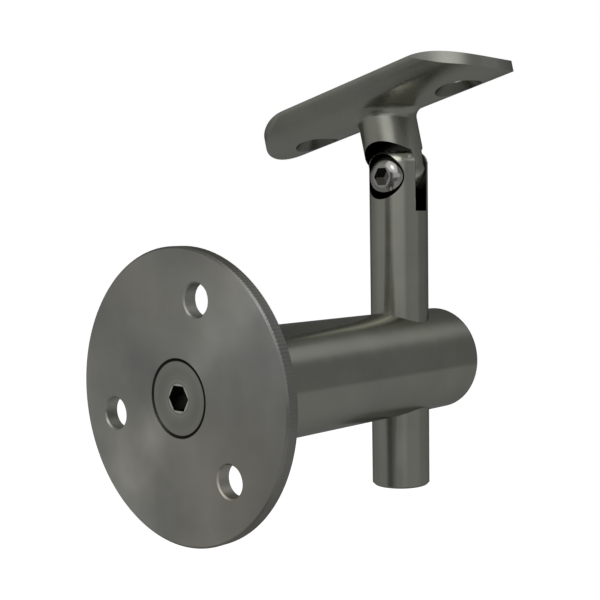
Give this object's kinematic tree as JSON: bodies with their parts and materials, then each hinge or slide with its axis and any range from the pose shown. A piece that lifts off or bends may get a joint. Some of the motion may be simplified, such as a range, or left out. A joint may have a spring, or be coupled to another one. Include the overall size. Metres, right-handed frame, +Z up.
{
  "type": "handrail bracket",
  "caption": "Wall bracket for a round handrail: round plate, solid arm, height-adjustable post and a tilting curved saddle on a clevis.",
  "frame": {"origin": "centre of the wall plate's back face", "axes": "+Y into the wall, the arm along -Y, +Z up, the handrail along X"},
  "size_m": [0.0698, 0.0866, 0.1011],
  "materials": {
    "plate_satin": "turned and satin brushed stainless steel",
    "bar_satin": "finely ground satin stainless bar",
    "rod_satin": "finely ground satin stainless rod",
    "cast_satin": "satin polished stainless casting",
    "screw_steel": "plain stainless socket screw",
    "screw_bright": "bright polished stainless socket screw"
  },
  "bodies": {
    "wall_mount": {"wall_plate": "plate_satin", "plate_screw": "screw_steel", "arm": "bar_satin", "clamp_screw": "screw_steel"},
    "post": {"post": "rod_satin", "pivot_screw": "screw_bright"},
    "saddle": {"saddle": "cast_satin"}
  },
  "joints": [
    {"name": "post_height", "type": "slide", "parent": "wall_mount", "child": "post", "axis": [0, 0, 1], "range_m": [-0.018, 0.015]},
    {"name": "saddle_tilt", "type": "hinge", "parent": "post", "child": "saddle", "pos_m": [0, -0.0707, 0.0448], "axis": [0, 1, 0], "range_deg": [-58.4, 31.6]}
  ]
}
